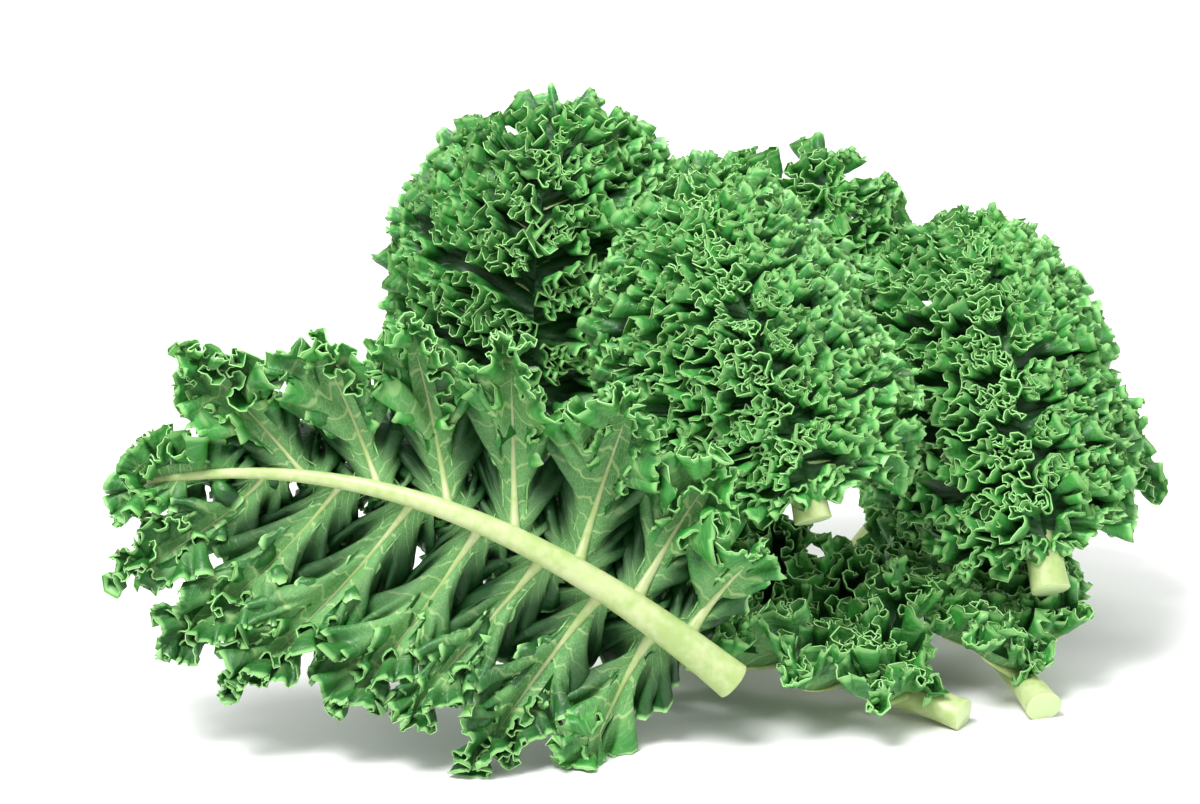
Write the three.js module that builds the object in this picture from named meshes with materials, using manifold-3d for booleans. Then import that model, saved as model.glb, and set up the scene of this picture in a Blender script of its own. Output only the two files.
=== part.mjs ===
// A bunch of eight leaves of curly kale, cut at the stalk and lying in a heap on a flat surface.
// Each leaf is a pale stalk, which runs on as the midrib with its side ribs, and a green blade. The blade has a
// lobe round each side rib, folded up into a trough, with a ruffled, toothed edge.
// Millimetres, +Z up. X runs along the heap, -Y is its front, and the origin is on the surface under its middle.
import * as THREE from "three";
import { mergeVertices } from "three/addons/utils/BufferGeometryUtils.js";
import Module from "manifold-3d";

const wasm = await Module();
wasm.setup();

// Driving dimensions of every leaf
const BLADE_THICKNESS = 0.9;
const RIB_GAP = 0.6; // clear space between a rib and the blade that lies on it
const STALK_TIP_RADIUS = 1.3; // at the far end of the midrib
const STALK_FLATNESS = 0.8; // height of the stalk's oval section over its width
const STALK_SIDES = 8;
const SIDE_RIB_SIDES = 3;
const SIDE_RIB_SHARE = 0.42; // radius of a side rib at its base over that of the midrib there
const SIDE_RIB_TIP_RADIUS = 0.8;
const RIB_REACH = 0.92; // length of a side rib over that of its lobe
const RIB_SPANS = 2; // straight stretches of a side rib, where the blade bends too
const RUFFLE_SHARE = 0.08; // how far the edge swings forward and back, over the distance between side ribs
const RUFFLE_POWER = 2; // how soon that dies away towards the rib
const SAG = 0.25; // how deep the blade hangs between rib and edge, over four times its width
const TOOTH_LENGTH = 1.2; // how far the points of the edge stand out
const FAIR_STEPS = 40; // how often a point's normal is leant towards its steepest triangle
const ROWS = [0, 0.55, 1]; // from the rib to the edge
const SWEEP = [-8, 44]; // degrees that the side ribs lean forward, at the blade's base and at its tip
const CUT_REACH = 0.13; // how far out the cuts between lobes start, over the length of their ribs
const CUT_RISE = 0.7; // how high they start, over the rise of the edges
const FIRST_CUT = 5; // half-width of the blade where it starts
const ROUNDNESS = 8; // how blunt the ends of the lobes are
const BLUNTNESS = 1.4; // and how much closer together the edge's points are there
const VARY_LEAN = 6; // degrees that a rib may lean more or less than its neighbours
const VARY_TURN = 12; // degrees that it may turn more or less
const VARY_LENGTH = 0.12; // share that it may be longer or shorter
const AT_BASE = 0.65; // share of its width that the blade has at its base
const TIP_SPREAD = 0.62; // the most that a leaf's spread is beside its last lobe
const FIRST_LOBE_WIDTH = 18; // how far behind the first side rib its lobe's rear edge is measured from
const FOLD = [0.35, 0.85]; // where along a lobe its rise passes into tipRise
const CUT_BLEND = 0.25; // share of a half lobe's length over which its edge comes up to the cut
const FIRST_BLEND = 0.6; // the same at the leaf's first cut
const WIDEST_FROM = 0.4; // share of the blade's length at which it has its full width
const NARROWS_FROM = 0.5; // and at which it starts to narrow again
const STALK_TAPER = 0.85; // how evenly the stalk tapers, 1 for a straight cone
const WIDEST_LOBE = 30; // wider lobes rise no higher than one of this width
const TIP_LENGTH = 16; // of the leaf's last lobe, beyond the end of the midrib
const TIP_SPANS = 3; // of the midrib, beyond the last side rib

// spine: the midrib as a cubic Bezier curve from the cut end to the tip. face: which way the upper face looks,
// at the cut end and at the tip. from: where on the spine the blade starts. rise: how high the edges of the
// lobes stand over their ribs, for each millimetre between neighbouring ribs. spread: how far to each side they
// stand, over the way from the rib to the middle between it and its neighbour's. halves: for the left and the right
// half its width, the share of it left at the tip, the degrees that its ribs lean forward more than others, that
// they tilt towards the upper face at the midrib, and that they turn further towards their ends. Where they are
// given, sweep takes the place of SWEEP, and tipRise that of rise towards the ends of the lobes.
const LEAVES = [
  {
    name: "front_leaf", seed: 13, lobes: 7, stalk: 7, from: 0.06, rise: 0.4, spread: 0.74,
    sweep: [-8, 66], tipRise: 0.15,
    spine: [[47, -105, 25], [0, -110, 66], [-70, -96, 112], [-162, -70, 88]],
    face: [[0.25, 0.8, -0.4], [-0.1, 0.9, -0.3]],
    halves: [[78, 0.74, 0, 20, -74], [98, 0.62, -8, 30, -76]],
  },
  {
    name: "back_left_leaf", seed: 2, lobes: 7, stalk: 6.5, from: 0.12, rise: 0.6, spread: 0.58,
    spine: [[-20, 80, 2.5], [-32, 34, 60], [-26, 16, 180], [-16, 64, 196]],
    face: [[0.05, -1, 0.1], [0, -0.4, 1]],
    halves: [[84, 0.66, 0, -5, -72], [84, 0.66, 0, -5, -72]],
  },
  {
    name: "centre_leaf", seed: 15, lobes: 7, stalk: 7, from: 0.06, rise: 0.55, spread: 0.58,
    spine: [[76, -75, 75], [68, -58, 108], [46, -36, 160], [36, 18, 178]],
    face: [[0, -0.75, 0.65], [-0.1, -0.2, 1]],
    halves: [[68, 0.66, 0, 4, -66], [70, 0.66, 0, 0, -65]],
  },
  {
    name: "right_leaf", seed: 4, lobes: 7, stalk: 7.5, from: 0.07, rise: 0.6, spread: 0.58,
    spine: [[166, -50, 41], [157, -18, 82], [150, 16, 144], [146, 62, 152]],
    face: [[0.1, -0.7, 0.7], [0.1, -0.1, 1]],
    halves: [[66, 0.66, 0, 0, -60], [66, 0.66, 0, 0, -60]],
  },
  {
    name: "low_front_leaf", seed: 5, lobes: 5, stalk: 7, from: 0.08, rise: 0.45, spread: 0.62,
    spine: [[131, -83, 4.6], [92, -60, 8], [40, -22, 14], [-30, 4, 26]],
    face: [[0, -0.2, 1], [0, 0, 1]],
    halves: [[58, 0.62, 0, 0, 30], [56, 0.66, 0, 18, 32]],
  },
  {
    name: "low_right_leaf", seed: 16, lobes: 4, stalk: 7, from: 0.12, rise: 0.45, spread: 0.62,
    spine: [[161, -75, 4.7], [152, -45, 9], [140, -6, 14], [116, 36, 24]],
    face: [[0, -0.2, 1], [0, 0, 1]],
    halves: [[44, 0.62, 0, 15, 22], [48, 0.62, 0, 8, 25]],
  },
  {
    name: "back_leaf", seed: 7, lobes: 5, stalk: 6.5, from: 0.2, rise: 0.55, spread: 0.58,
    spine: [[60, 112, 0.5], [66, 114, 60], [86, 98, 164], [94, 124, 164]],
    face: [[0.1, -1, 0.1], [0, -0.5, 1]],
    halves: [[62, 0.7, 0, -5, -60], [60, 0.7, 0, -5, -60]],
  },
  {
    name: "back_right_leaf", seed: 11, lobes: 4, stalk: 6.5, from: 0.16, rise: 0.5, spread: 0.62,
    spine: [[100, 84, 2.5], [134, 100, 52], [182, 92, 84], [216, 60, 54]],
    face: [[0, -0.2, 1], [0.5, -0.3, 0.8]],
    halves: [[52, 0.62, 0, -8, -45], [54, 0.66, -4, -18, -38]],
  },
];
const HEAP_MIDDLE = new THREE.Vector3(25, 8.4, 0); // what the spines' x and y are moved back by

const FINISHES = {
  stalk: { color: 0xb9cf7c, roughness: 0.45, metalness: 0 },
  blade: { color: 0x2f7a33, roughness: 0.55, metalness: 0 },
};

const degrees = THREE.MathUtils.degToRad;
const mix = THREE.MathUtils.lerp;
const smooth = THREE.MathUtils.smoothstep;

// A fixed number from -1 to 1 for each lobe of each side of each leaf.
function chance(seed, side, lobe, use) {
  const x = Math.sin(seed * 12.9898 + side * 78.233 + lobe * 37.719 + use * 4.581) * 43758.5453;
  return 2 * (x - Math.floor(x)) - 1;
}

// The midrib's stations: one for each side rib and each cut between lobes. The ribs of the left half spring from
// the odd ones and those of the right half from the even ones, and each half's cuts from the others.
function stationCount(leaf) {
  return 2 * leaf.lobes + TIP_SPANS;
}

function stationAt(leaf, j) {
  return mix(leaf.from, 1, j / stationCount(leaf));
}

function ribStation(side, lobe) {
  return 2 * lobe + (side < 0 ? 1 : 2);
}

// Half the stalk's width at t, from the cut end to the end of the midrib.
function stalkRadius(leaf, t) {
  return mix(leaf.stalk, STALK_TIP_RADIUS, t ** STALK_TAPER);
}

// The leaf's own directions at t along the spine: along it, out of the upper face, and across to the right; and
// the point of the blade over the midrib.
function frameAt(leaf, t) {
  const curve = new THREE.CubicBezierCurve3(...leaf.spine.map((p) => new THREE.Vector3(...p).sub(HEAP_MIDDLE)));
  const point = curve.getPoint(t);
  const along = curve.getTangent(t);
  const up = new THREE.Vector3(...leaf.face[0]).lerp(new THREE.Vector3(...leaf.face[1]), t);
  up.addScaledVector(along, -up.dot(along)).normalize();
  const lift = stalkRadius(leaf, t) * STALK_FLATNESS + RIB_GAP + BLADE_THICKNESS / 2;
  const onBlade = point.clone().addScaledVector(up, lift);
  return { point, onBlade, along, up, across: along.clone().cross(up) };
}

function sum(start, ...terms) {
  const total = start.clone();
  for (const [vector, amount] of terms) total.addScaledVector(vector, amount);
  return total;
}

// Share of the half-width that the blade reaches at u, from its base to its tip.
function outline(u, atTip) {
  return mix(AT_BASE, 1, smooth(u, 0, WIDEST_FROM)) * mix(1, atTip, smooth(u, NARROWS_FROM, 1));
}

// A side rib, which is an arc out of the midrib: its point, its direction, the way out of the upper face, and
// the way forward across it, at r from its base to its end.
function sideRib(leaf, side, lobe, r) {
  const [width, atTip, sweepMore, tiltStart, tiltTurn] = leaf.halves[side < 0 ? 0 : 1];
  const u = ribStation(side, lobe) / stationCount(leaf);
  const { onBlade, along, up, across } = frameAt(leaf, mix(leaf.from, 1, u));
  const lean = degrees(mix(...(leaf.sweep ?? SWEEP), u) + sweepMore + VARY_LEAN * chance(leaf.seed, side, lobe, 1));
  const out = sum(across.clone().multiplyScalar(side * Math.cos(lean)), [along, Math.sin(lean)]);
  const forward = sum(along.clone().multiplyScalar(Math.cos(lean)), [across, -side * Math.sin(lean)]);
  const length = width * outline(u, atTip) * (1 + VARY_LENGTH * chance(leaf.seed, side, lobe, 2));
  const start = degrees(tiltStart);
  const turn = degrees(tiltTurn + VARY_TURN * chance(leaf.seed, side, lobe, 3));
  const tilt = start + turn * r;
  const arc = (RIB_REACH * length) / turn;
  const point = sum(onBlade, [out, arc * (Math.sin(tilt) - Math.sin(start))]);
  point.addScaledVector(up, arc * (Math.cos(start) - Math.cos(tilt)));
  const direction = sum(out.clone().multiplyScalar(Math.cos(tilt)), [up, Math.sin(tilt)]);
  const normal = sum(up.clone().multiplyScalar(Math.cos(tilt)), [out, -Math.sin(tilt)]);
  return { point, direction, normal, forward, length };
}

// The stem of a lobe: its side rib, or the last stretch of the midrib for the lobe at the leaf's tip. Before the
// first lobe there is none, and its stem is moved back instead.
function stemOf(leaf, side, lobe, r) {
  if (lobe === leaf.lobes) {
    const frame = frameAt(leaf, stationAt(leaf, mix(ribStation(side, lobe) - 1, stationCount(leaf), r)));
    const length = TIP_LENGTH / (1 - RIB_REACH);
    return { point: frame.onBlade, direction: frame.along, normal: frame.up, length };
  }
  const rib = sideRib(leaf, side, Math.max(lobe, 0), r);
  return lobe < 0 ? { ...rib, point: sum(rib.point, [rib.forward, -FIRST_LOBE_WIDTH]) } : rib;
}

// The inner end of the cut between a lobe and its neighbour, raised over the blade, and the way out of the upper
// face there. The first cut is where the blade starts.
function cutAt(leaf, side, lobe, towards) {
  if (lobe === 0 && towards < 0) {
    const base = frameAt(leaf, leaf.from);
    return { point: sum(base.onBlade, [base.across, side * FIRST_CUT]), normal: base.up };
  }
  const own = stemOf(leaf, side, lobe, CUT_REACH);
  const other = stemOf(leaf, side, lobe + towards, CUT_REACH);
  const normal = own.normal.clone().add(other.normal).normalize();
  const rise = CUT_RISE * leaf.rise * own.point.distanceTo(other.point);
  return { point: own.point.clone().lerp(other.point, 0.5).addScaledVector(normal, rise), normal };
}

// Half a lobe, from the cut beside it (m = 0) to its tip (m = 1): the point on its rib or the midrib, the point
// of its edge, and the way out of the upper face at the rib. towards is 1 for the half nearer the leaf's tip.
// The edge stands over the blade, a little short of the middle between the lobe's rib and its neighbour's.
function halfLobe(leaf, side, lobe, towards, m) {
  const rib = ribStation(side, lobe);
  const atStart = lobe === 0 && towards < 0;
  let axis;
  if (lobe === leaf.lobes) {
    axis = frameAt(leaf, stationAt(leaf, mix(rib - 1, stationCount(leaf), m))).onBlade;
  } else {
    const station = atStart ? 0 : rib + towards;
    const midribShare = 1 - RIB_SPANS / (RIB_SPANS + Math.abs(rib - station));
    axis = m < midribShare
      ? frameAt(leaf, stationAt(leaf, mix(station, rib, m / midribShare))).onBlade
      : sideRib(leaf, side, lobe, (m - midribShare) / (1 - midribShare)).point;
  }
  const r = mix(CUT_REACH, 1, 1 - (1 - m) ** BLUNTNESS);
  const stem = stemOf(leaf, side, lobe, r);
  const between = stemOf(leaf, side, lobe + towards, r).point.sub(stem.point);
  const round = (Math.PI / 2) * r ** ROUNDNESS;
  const besideTip = lobe === leaf.lobes || lobe + towards === leaf.lobes;
  const toMiddle = (besideTip ? Math.min(leaf.spread, TIP_SPREAD) : leaf.spread) / 2;
  const rise = mix(leaf.rise, atStart ? leaf.rise : leaf.tipRise ?? leaf.rise, smooth(r, ...FOLD));
  const edge = sum(stem.point,
    [between, toMiddle * Math.cos(round)],
    [stem.normal, rise * Math.min(between.length(), WIDEST_LOBE) * Math.cos(round)],
    [stem.direction, stem.length * (1 - RIB_REACH) * Math.sin(round)]);
  const cut = cutAt(leaf, side, lobe, towards);
  const nearCut = 1 - smooth(m, 0, atStart ? FIRST_BLEND : CUT_BLEND);
  edge.lerp(cut.point, nearCut);
  const normal = stem.normal.clone().lerp(cut.normal, nearCut);
  const forward = between.multiplyScalar(besideTip ? 0 : towards * Math.cos(round) * (1 - nearCut));
  return { axis, edge, normal, forward };
}

// A point of the blade, v of the way from the rib to the edge, which has a tooth there and swings forward and
// back. The blade sags, so a lobe is a trough.
function bladePoint(leaf, side, lobe, towards, m, v, tooth, swing) {
  const { axis, edge, normal, forward } = halfLobe(leaf, side, lobe, towards, m);
  const ray = edge.clone().sub(axis);
  const length = ray.length();
  const sag = SAG * length * v * (1 - v);
  return sum(axis, [ray, v * (1 + tooth / length)], [normal, -sag], [forward, swing]);
}

// The blade as one open sheet. Each half lobe is a strip with as many spans along its rib as there are stations
// and twice as many along its edge, which swings to and fro from point to point and has a tooth at every other
// one. Neighbouring edges swing the same way, so they stay clear of each other.
function bladeSheet(leaf) {
  const points = [];
  const faces = [];
  const known = new Map();
  const add = (point) => {
    const key = point.toArray().map((value) => value.toFixed(3)).join();
    if (!known.has(key)) known.set(key, points.push(point) - 1);
    return known.get(key);
  };
  for (const side of [-1, 1]) {
    for (let lobe = 0; lobe <= leaf.lobes; lobe++) {
      for (const towards of lobe === leaf.lobes ? [-1] : [-1, 1]) {
        const rib = ribStation(side, lobe);
        let spans = RIB_SPANS + 1;
        if (lobe === 0 && towards < 0) spans = RIB_SPANS + rib;
        if (lobe === leaf.lobes) spans = stationCount(leaf) - rib + 1;
        const rows = ROWS.map((v, row) => {
          const count = row === 0 ? spans : 2 * spans;
          const line = [];
          for (let i = 0; i <= count; i++) {
            const m = i / count;
            const tooth = v === 1 && i > 0 && i % 2 === 0 ? TOOTH_LENGTH : 0;
            const swing = i > 0 ? (i % 2 ? 1 : -1) * RUFFLE_SHARE * v ** RUFFLE_POWER : 0;
            line.push(add(bladePoint(leaf, side, lobe, towards, m, v, tooth, swing)));
          }
          return line;
        });
        const flip = side * (lobe === leaf.lobes ? -1 : towards) > 0;
        const put = (a, b, c) => {
          if (a !== b && b !== c && c !== a) faces.push(flip ? [a, c, b] : [a, b, c]);
        };
        for (let i = 0; i < spans; i++) {
          put(rows[0][i], rows[1][2 * i], rows[1][2 * i + 1]);
          put(rows[0][i], rows[1][2 * i + 1], rows[0][i + 1]);
          put(rows[0][i + 1], rows[1][2 * i + 1], rows[1][2 * i + 2]);
        }
        for (let i = 0; i < 2 * spans; i++) {
          put(rows[1][i], rows[2][i], rows[2][i + 1]);
          put(rows[1][i], rows[2][i + 1], rows[1][i + 1]);
        }
      }
    }
  }
  return { points, faces };
}

// The direction that is nearest to square to all of a point's triangles, found by leaning again and again
// towards the normal of the triangle that is furthest from square.
function fairNormal(normals) {
  const fair = normals.reduce((total, normal) => total.add(normal), new THREE.Vector3()).normalize();
  for (let step = 0; step < FAIR_STEPS; step++) {
    const worst = normals.reduce((a, b) => (a.dot(fair) < b.dot(fair) ? a : b));
    fair.addScaledVector(worst, 1 / (step + 2)).normalize();
  }
  return fair;
}

// Gives an open sheet its thickness: the same triangles on both faces, and a wall along the edge.
function thicken({ points, faces }, thickness) {
  const normals = points.map(() => []);
  const edges = new Map();
  for (const face of faces) {
    const [a, b, c] = face.map((i) => points[i]);
    const normal = b.clone().sub(a).cross(c.clone().sub(a)).normalize();
    face.forEach((i) => normals[i].push(normal));
    face.forEach((i, k) => edges.set(`${i},${face[(k + 1) % 3]}`, [i, face[(k + 1) % 3]]));
  }
  const fair = normals.map(fairNormal);
  const positions = [1, -1].flatMap((side) =>
    points.flatMap((point, i) => sum(point, [fair[i], (side * thickness) / 2]).toArray()));
  const below = points.length;
  const index = faces.flatMap(([a, b, c]) => [a, b, c, a + below, c + below, b + below]);
  for (const [a, b] of edges.values()) {
    if (!edges.has(`${b},${a}`)) index.push(a, a + below, b + below, a, b + below, b);
  }
  return indexedGeometry(positions, index);
}

function indexedGeometry(positions, index) {
  const geometry = new THREE.BufferGeometry();
  geometry.setAttribute("position", new THREE.Float32BufferAttribute(positions, 3));
  geometry.setIndex(index);
  return geometry;
}

// A closed tube of oval rings, each given by its centre, its two directions and its radius.
function tube(rings, sides, flatness) {
  const positions = [];
  const index = [];
  rings.forEach(({ centre, up, across, radius }, ring) => {
    for (let k = 0; k < sides; k++) {
      const angle = Math.PI * ((2 * k + 1) / sides + 0.5);
      const corner = sum(centre, [across, radius * Math.cos(angle)], [up, radius * flatness * Math.sin(angle)]);
      positions.push(...corner.toArray());
      if (ring === 0) continue;
      const [a, b] = [ring * sides + k, ring * sides + ((k + 1) % sides)];
      index.push(a, b, a - sides, b, b - sides, a - sides);
    }
  });
  const last = (rings.length - 1) * sides;
  for (let k = 1; k + 1 < sides; k++) index.push(0, k, k + 1, last, last + k + 1, last + k);
  return indexedGeometry(positions, index);
}

// The stalk and midrib: oval rings along the spine, flat at the cut end, one at each of the blade's stations, so
// that both bend at the same places; and a tapering rib under each lobe.
function stalkSolid(leaf) {
  const places = [0, leaf.from / 2];
  for (let j = 0; j <= stationCount(leaf); j++) places.push(stationAt(leaf, j));
  const rings = places.map((t) => {
    const { point, up, across } = frameAt(leaf, t);
    return { centre: point, up, across, radius: stalkRadius(leaf, t) };
  });
  let solid = toSolid(tube(rings, STALK_SIDES, STALK_FLATNESS));
  for (const side of [-1, 1]) {
    for (let lobe = 0; lobe < leaf.lobes; lobe++) {
      const base = SIDE_RIB_SHARE * stalkRadius(leaf, stationAt(leaf, ribStation(side, lobe)));
      const ribRings = [0, 1, 2].map((i) => {
        const { point, normal, forward } = sideRib(leaf, side, lobe, i / RIB_SPANS);
        const radius = mix(base, SIDE_RIB_TIP_RADIUS, i / RIB_SPANS);
        const drop = radius * STALK_FLATNESS + RIB_GAP + BLADE_THICKNESS / 2;
        const across = forward.clone().multiplyScalar(-side);
        return { centre: sum(point, [normal, -drop]), up: normal, across, radius };
      });
      solid = solid.add(toSolid(tube(ribRings, SIDE_RIB_SIDES, STALK_FLATNESS)));
    }
  }
  return solid;
}

function toSolid(geometry) {
  const merged = mergeVertices(geometry, 1e-4);
  return new wasm.Manifold(
    new wasm.Mesh({
      numProp: 3,
      vertProperties: merged.attributes.position.array,
      triVerts: new Uint32Array(merged.index.array),
    }),
  );
}

function toGeometry(solid) {
  const { vertProperties, triVerts } = solid.getMesh();
  return indexedGeometry(Array.from(vertProperties), Array.from(triVerts));
}

// What touches the surface is pressed flat on it.
function restOnSurface(solid) {
  const below = new THREE.BoxGeometry(900, 900, 60).translate(0, 0, -30);
  below.deleteAttribute("normal");
  below.deleteAttribute("uv");
  const pressed = solid.subtract(toSolid(below));
  return pressed.decompose().sort((a, b) => b.volume() - a.volume())[0];
}

function partMesh(name, solid, finish) {
  const mesh = new THREE.Mesh(toGeometry(restOnSurface(solid)), new THREE.MeshStandardMaterial(finish));
  mesh.name = name;
  return mesh;
}

const bunch = new THREE.Group();
for (const leaf of LEAVES) {
  const blade = toSolid(thicken(bladeSheet(leaf), BLADE_THICKNESS));
  bunch.add(partMesh(`${leaf.name}_stalk`, stalkSolid(leaf), FINISHES.stalk));
  bunch.add(partMesh(`${leaf.name}_blade`, blade, FINISHES.blade));
}

export default bunch;
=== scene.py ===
"""A heap of eight curly kale leaves on a pale surface.

Each leaf of the frame is a stalk and a blade of plain lobes. Here each blade becomes a long frilled ribbon
that follows the lobes and carries three sizes of curl, with a second frill inside the lobes' troughs. Each
stalk becomes a smooth midrib with its side ribs. Lengths inside the leaf functions are millimetres and
become metres in the meshes.
"""
import math

import bpy
import numpy as np
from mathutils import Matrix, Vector


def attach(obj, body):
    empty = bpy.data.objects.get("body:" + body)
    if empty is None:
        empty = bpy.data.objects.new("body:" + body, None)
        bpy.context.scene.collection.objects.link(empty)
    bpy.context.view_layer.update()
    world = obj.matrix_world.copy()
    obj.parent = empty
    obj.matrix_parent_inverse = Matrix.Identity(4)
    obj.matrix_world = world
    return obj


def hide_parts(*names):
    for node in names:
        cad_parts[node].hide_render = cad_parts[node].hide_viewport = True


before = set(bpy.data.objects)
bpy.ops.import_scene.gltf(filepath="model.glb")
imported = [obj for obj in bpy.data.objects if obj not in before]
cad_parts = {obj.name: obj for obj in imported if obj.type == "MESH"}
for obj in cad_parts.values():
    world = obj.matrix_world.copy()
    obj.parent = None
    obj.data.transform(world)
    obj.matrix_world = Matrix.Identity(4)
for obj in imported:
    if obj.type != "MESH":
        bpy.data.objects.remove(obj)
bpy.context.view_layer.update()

MM = 0.001

SWEEP = (-8, 44)  # degrees that the side ribs lean forward, at the blade's base and at its tip

# The leaves, on the spines and side ribs of the frame's solids. Their lobes spread wider here, the low
# leaves' rise higher and the front leaf's turn over at their ends, which closes gaps that the plain lobes
# leave. spine: the midrib as a cubic Bezier curve from the cut end to the tip. face: which way the upper
# face looks, at the cut end and at the tip. stalk: radius at the cut end. start: where on the spine the
# blade starts. rise: how high the edges of the lobes stand over their ribs, for each millimetre between
# neighbouring ribs, and tip_rise the same at the lobes' ends. spread: how far they stand to each side.
# halves: for the left and the right half its width, the share of it left at the tip, the extra lean of its
# ribs, and their tilt at the midrib and further turn, in degrees. coarseness: how much wider than
# COLUMN_WIDTH its mesh's columns are. crest_from: share of a half lobe, from its cut, at which the second
# frill has its full height. turned: whether the leaf shows its lower face.
LEAVES = [
    dict(name="front_leaf", seed=13, lobes=7, stalk=7, start=0.06, rise=0.4, tip_rise=-0.35, spread=0.9,
         sweep=(-8, 66), coarseness=1.15, crest_from=0.6, turned=True,
         spine=[(47, -105, 25), (0, -110, 66), (-70, -96, 112), (-162, -70, 88)],
         face=[(0.25, 0.8, -0.4), (-0.1, 0.9, -0.3)],
         halves=[(78, 0.74, 0, 20, -74), (98, 0.62, -8, 30, -76)]),
    dict(name="back_left_leaf", seed=2, lobes=7, stalk=6.5, start=0.12, rise=0.6, tip_rise=0.5, spread=0.95,
         sweep=SWEEP, coarseness=1.35, crest_from=0, turned=False,
         spine=[(-20, 80, 2.5), (-32, 34, 60), (-26, 16, 180), (-16, 64, 196)],
         face=[(0.05, -1, 0.1), (0, -0.4, 1)],
         halves=[(84, 0.66, 0, -5, -72), (84, 0.66, 0, -5, -72)]),
    dict(name="centre_leaf", seed=15, lobes=7, stalk=7, start=0.06, rise=0.55, tip_rise=0.5, spread=0.8,
         sweep=SWEEP, coarseness=1.05, crest_from=0, turned=False,
         spine=[(76, -75, 75), (68, -58, 108), (46, -36, 160), (36, 18, 178)],
         face=[(0, -0.75, 0.65), (-0.1, -0.2, 1)],
         halves=[(68, 0.66, 0, 4, -66), (70, 0.66, 0, 0, -65)]),
    dict(name="right_leaf", seed=4, lobes=7, stalk=7.5, start=0.07, rise=0.6, tip_rise=0.5, spread=0.8,
         sweep=SWEEP, coarseness=1.1, crest_from=0, turned=False,
         spine=[(166, -50, 41), (157, -18, 82), (150, 16, 144), (146, 62, 152)],
         face=[(0.1, -0.7, 0.7), (0.1, -0.1, 1)],
         halves=[(66, 0.66, 0, 0, -60), (66, 0.66, 0, 0, -60)]),
    dict(name="low_front_leaf", seed=5, lobes=5, stalk=7, start=0.08, rise=0.8, tip_rise=0.8, spread=0.85,
         sweep=SWEEP, coarseness=1.1, crest_from=0, turned=False,
         spine=[(131, -83, 4.6), (92, -60, 8), (40, -22, 14), (-30, 4, 26)],
         face=[(0, -0.2, 1), (0, 0, 1)],
         halves=[(58, 0.62, 0, 0, 30), (56, 0.66, 0, 18, 32)]),
    dict(name="low_right_leaf", seed=16, lobes=4, stalk=7, start=0.12, rise=0.8, tip_rise=0.8, spread=0.85,
         sweep=SWEEP, coarseness=1.2, crest_from=0, turned=False,
         spine=[(161, -75, 4.7), (152, -45, 9), (140, -6, 14), (116, 36, 24)],
         face=[(0, -0.2, 1), (0, 0, 1)],
         halves=[(44, 0.62, 0, 15, 22), (48, 0.62, 0, 8, 25)]),
    dict(name="back_leaf", seed=7, lobes=5, stalk=6.5, start=0.2, rise=0.55, tip_rise=0.5, spread=0.8,
         sweep=SWEEP, coarseness=1.6, crest_from=0, turned=False,
         spine=[(60, 112, 0.5), (66, 114, 60), (86, 98, 164), (94, 124, 164)],
         face=[(0.1, -1, 0.1), (0, -0.5, 1)],
         halves=[(62, 0.7, 0, -5, -60), (60, 0.7, 0, -5, -60)]),
    dict(name="back_right_leaf", seed=11, lobes=4, stalk=6.5, start=0.16, rise=0.5, tip_rise=0.5, spread=0.8,
         sweep=SWEEP, coarseness=1.5, crest_from=0, turned=False,
         spine=[(100, 84, 2.5), (134, 100, 52), (182, 92, 84), (216, 60, 54)],
         face=[(0, -0.2, 1), (0.5, -0.3, 0.8)],
         halves=[(52, 0.62, 0, -8, -45), (54, 0.66, -4, -18, -38)]),
]
HEAP_MIDDLE = np.array([25.0, 8.4, 0.0])  # what the spines' x and y are moved back by

# Shape of every leaf, as in the solids but for CUT_REACH, TIP_SPREAD and ROUNDNESS, which are 0.13, 0.62
# and 8 there
SOLID_THICKNESS = 0.9
RIB_GAP = 0.6  # clear space between a rib and the solid blade that lies on it
STALK_TIP_RADIUS = 1.3  # at the far end of the midrib
STALK_FLATNESS = 0.8  # height of the stalk's oval section over its width
STALK_TAPER = 0.85  # how evenly the stalk tapers, 1 for a straight cone
SIDE_RIB_SHARE = 0.42  # radius of a side rib at its base over that of the midrib there
RIB_REACH = 0.92  # length of a side rib over that of its lobe
RIB_SPANS = 2  # how many of the midrib's spans a side rib counts as, along half a lobe
SAG = 0.25  # how deep the blade hangs between rib and edge, over a quarter of its width
CUT_REACH = 0.05  # how far out the cuts between lobes start, over the length of their ribs
CUT_RISE = 0.7  # how high they start, over the rise of the edges
CUT_BLEND = 0.25  # share of a half lobe's length over which its edge comes up to the cut
FIRST_BLEND = 0.6  # the same at the leaf's first cut
FIRST_CUT = 5  # half-width of the blade where it starts
TIP_SPREAD = 0.95  # the most that a leaf's spread is beside its last lobe
ROUNDNESS = 11  # how blunt the ends of the lobes are
BLUNTNESS = 1.4  # and how much closer together the edge's points are there
FOLD = (0.35, 0.85)  # where along a lobe its rise passes into tip_rise
VARY_LEAN = 6  # degrees that a rib may lean more or less than its neighbours
VARY_TURN = 12  # degrees that it may turn more or less
VARY_LENGTH = 0.12  # share that it may be longer or shorter
AT_BASE = 0.65  # share of its width that the blade has at its base
WIDEST_FROM = 0.4  # share of the blade's length at which it has its full width
NARROWS_FROM = 0.5  # and at which it starts to narrow again
FIRST_LOBE_WIDTH = 18  # how far behind the first side rib its lobe's rear edge is measured from
WIDEST_LOBE = 30  # wider lobes rise no higher than one of this width
TIP_LENGTH = 16  # of the leaf's last lobe, beyond the end of the midrib
TIP_SPANS = 3  # of the midrib, beyond the last side rib

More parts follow.
